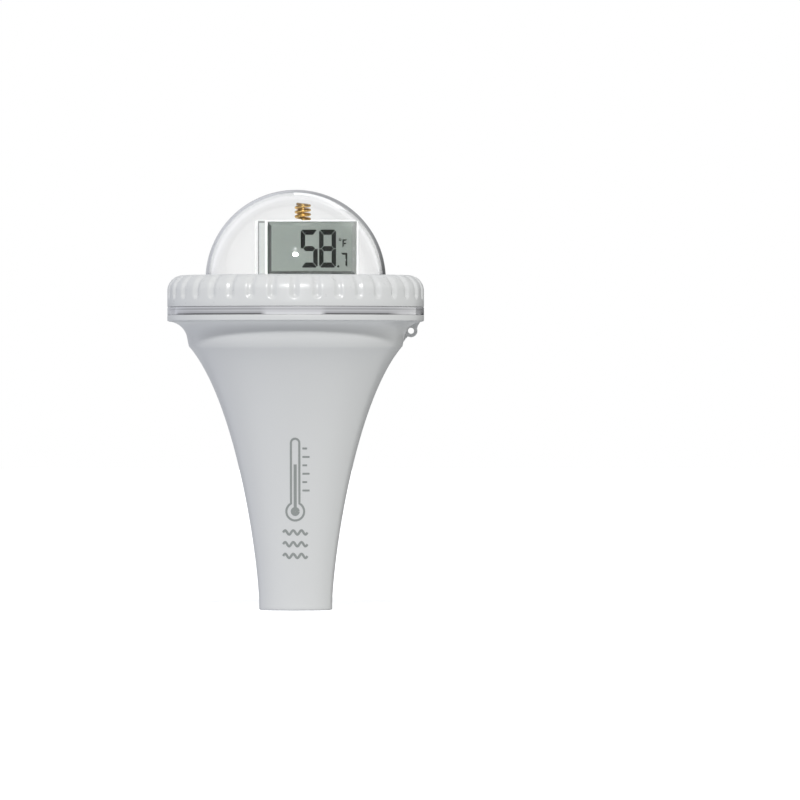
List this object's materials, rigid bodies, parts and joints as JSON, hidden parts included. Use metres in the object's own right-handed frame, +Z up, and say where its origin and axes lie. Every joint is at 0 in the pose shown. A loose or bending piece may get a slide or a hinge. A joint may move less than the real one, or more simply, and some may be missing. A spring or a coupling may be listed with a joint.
{
  "type": "floating pool thermometer",
  "caption": "Floating water thermometer with a trumpet-shaped tail, a screw-on clear dome over a digital display, and a fluted grip collar.",
  "frame": {"origin": "centre of the flat foot at the bottom of the tail", "axes": "+Z up along the float's axis, -Y the side that the display faces, +X the side of the lanyard eyelet"},
  "size_m": [0.092, 0.092, 0.1506],
  "materials": {
    "white_shell": "satin moulded shell",
    "white_collar": "glossy moulded collar",
    "clear_plastic": "clear polished plastic",
    "seal_rubber": "matt black rubber",
    "module_plastic": "matt white moulding",
    "rail_plastic": "pale grey plastic",
    "display_glass": "greenish grey display glass",
    "reflector": "silvery film",
    "circuit_board": "green solder resist",
    "black_component": "matt black plastic",
    "gold_wire": "gold-plated wire",
    "steel": "nickel-plated steel",
    "ballast_iron": "dark cast iron",
    "button_grey": "mid-grey plastic",
    "cell_jacket": "printed metal jacket, plain",
    "lead_jacket": "dark flexible jacket"
  },
  "bodies": {
    "float": {"float_body": "white_shell", "module_chassis": "module_plastic", "deck_plate": "module_plastic", "display_housing": "module_plastic", "back_cover": "module_plastic", "lcd_glass": "display_glass", "lcd_reflector": "reflector", "elastomer_connector": "seal_rubber", "side_rail": "rail_plastic", "display_board": "circuit_board", "main_board": "circuit_board", "ribbon_cable": "rail_plastic", "lead_connector": "rail_plastic", "radio_can": "steel", "processor_chip": "black_component", "antenna_coil": "gold_wire", "unit_tact_switch": "black_component", "sync_tact_switch": "black_component", "channel_switch_base": "black_component", "battery_holder": "black_component", "battery_door": "black_component", "battery_end_cap": "black_component", "battery_cell_left": "cell_jacket", "battery_cell_right": "cell_jacket", "bridge_contact": "steel", "bridge_spring": "steel", "positive_contact": "steel", "negative_spring": "steel", "probe_thimble": "steel", "probe_seal": "seal_rubber", "thermistor_bead": "black_component", "sensor_lead": "lead_jacket", "lead_grommet": "seal_rubber", "ballast_weight": "ballast_iron", "ballast_retainer": "seal_rubber", "chassis_screw_1": "steel", "chassis_screw_2": "steel", "chassis_screw_3": "steel", "deck_screw_left": "steel", "deck_screw_right": "steel", "holder_screw_front": "steel", "holder_screw_rear": "steel", "back_screw_low": "steel", "back_screw_high": "steel"},
    "seal": {"cover_o_ring": "seal_rubber"},
    "cover": {"clear_dome_cover": "clear_plastic", "grip_collar": "white_collar"},
    "unit_key": {"unit_button": "button_grey"},
    "sync_key": {"sync_button": "button_grey"},
    "channel_key": {"channel_slider": "button_grey"}
  },
  "joints": [
    {"name": "cover_rise", "type": "slide", "parent": "float", "child": "seal", "axis": [0, 0, 1], "range_m": [0, 0.0046]},
    {"name": "cover_turn", "type": "hinge", "parent": "seal", "child": "cover", "pos_m": [0, 0, 0.1091], "axis": [0, 0, 1], "range_deg": [0, 540]},
    {"name": "unit_press", "type": "slide", "parent": "float", "child": "unit_key", "axis": [0, -1, 0], "range_m": [0, 0.0006], "stiffness_N_per_m": 500, "springref_m": -0.0002},
    {"name": "sync_press", "type": "slide", "parent": "float", "child": "sync_key", "axis": [0, -1, 0], "range_m": [0, 0.0006], "stiffness_N_per_m": 500, "springref_m": -0.0002},
    {"name": "channel_slide", "type": "slide", "parent": "float", "child": "channel_key", "axis": [1, 0, 0], "range_m": [-0.002, 0.002]}
  ],
  "couplings": [
    {"joint": "cover_rise", "follows": "cover_turn", "m_per_rad": 0.00047746}
  ]
}
